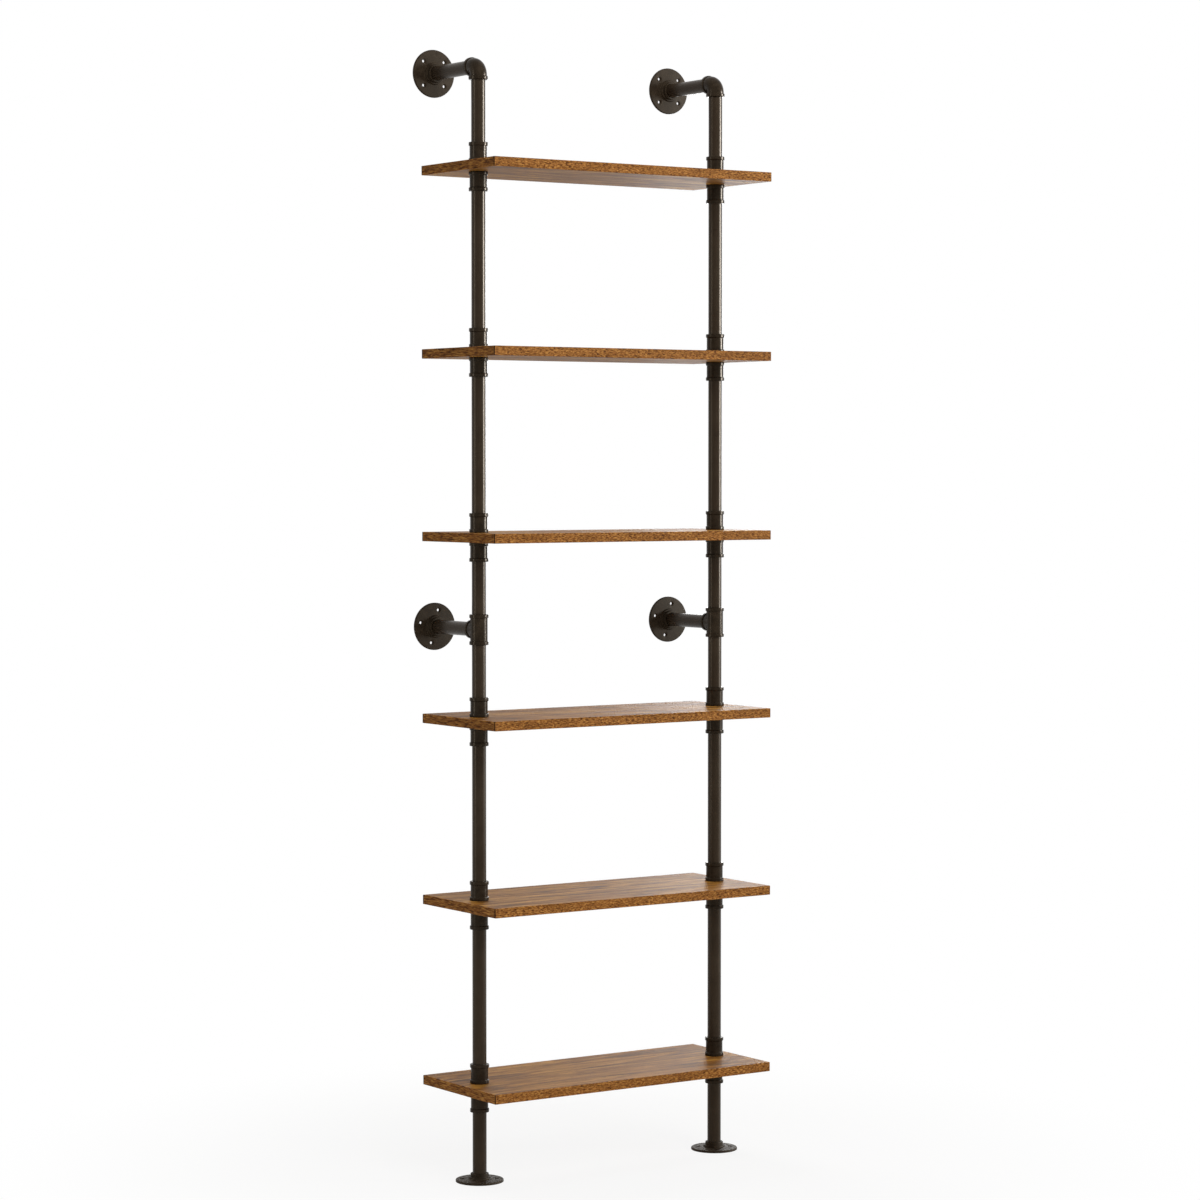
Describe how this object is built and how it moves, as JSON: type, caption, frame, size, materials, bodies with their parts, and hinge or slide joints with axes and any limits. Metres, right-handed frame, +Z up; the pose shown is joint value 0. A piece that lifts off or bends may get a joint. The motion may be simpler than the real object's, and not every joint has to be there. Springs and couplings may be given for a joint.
{
  "type": "wall bookcase",
  "caption": "Tall open bookcase of wood-print boards clamped between couplings on screwed pipe uprights, with round flanges that screw to the floor and to the wall.",
  "frame": {"origin": "on the floor, under the centre of the bookcase's box", "axes": "+X along the boards, to the right as seen from the room; +Y towards the wall; +Z up"},
  "size_m": [0.6434, 0.289, 2.1588],
  "materials": {
    "board": "rustic brown wood-print laminate on particle board, satin, with banded edges",
    "pipe": "brown-black satin paint on drawn steel pipe",
    "fitting": "brown-black satin paint on cast iron, slightly pebbled",
    "flange": "brown-black satin paint on cast iron, slightly pebbled",
    "nipple": "bare cut steel thread, hidden inside"
  },
  "bodies": {
    "root": {"bay_pipe_1_left": "pipe", "bay_pipe_1_right": "pipe", "bay_pipe_2_left": "pipe", "bay_pipe_2_right": "pipe", "bay_pipe_3_lower_left": "pipe", "bay_pipe_3_lower_right": "pipe", "bay_pipe_3_upper_left": "pipe", "bay_pipe_3_upper_right": "pipe", "bay_pipe_4_left": "pipe", "bay_pipe_4_right": "pipe", "bay_pipe_5_left": "pipe", "bay_pipe_5_right": "pipe", "board_nipples_1": "nipple", "board_nipples_2": "nipple", "board_nipples_3": "nipple", "board_nipples_4": "nipple", "board_nipples_5": "nipple", "board_nipples_6": "nipple", "couplings_1_left": "fitting", "couplings_1_right": "fitting", "couplings_2_left": "fitting", "couplings_2_right": "fitting", "couplings_3_left": "fitting", "couplings_3_right": "fitting", "couplings_4_left": "fitting", "couplings_4_right": "fitting", "couplings_5_left": "fitting", "couplings_5_right": "fitting", "couplings_6_left": "fitting", "couplings_6_right": "fitting", "elbow_left": "fitting", "elbow_right": "fitting", "floor_flange_left": "flange", "floor_flange_right": "flange", "foot_pipe_left": "pipe", "foot_pipe_right": "pipe", "head_pipe_left": "pipe", "head_pipe_right": "pipe", "shelf_board_1": "board", "shelf_board_2": "board", "shelf_board_3": "board", "shelf_board_4": "board", "shelf_board_5": "board", "shelf_board_6": "board", "tee_left": "fitting", "tee_right": "fitting", "wall_arm_middle_left": "pipe", "wall_arm_middle_right": "pipe", "wall_arm_upper_left": "pipe", "wall_arm_upper_right": "pipe", "wall_flange_middle_left": "flange", "wall_flange_middle_right": "flange", "wall_flange_upper_left": "flange", "wall_flange_upper_right": "flange"}
  },
  "joints": []
}
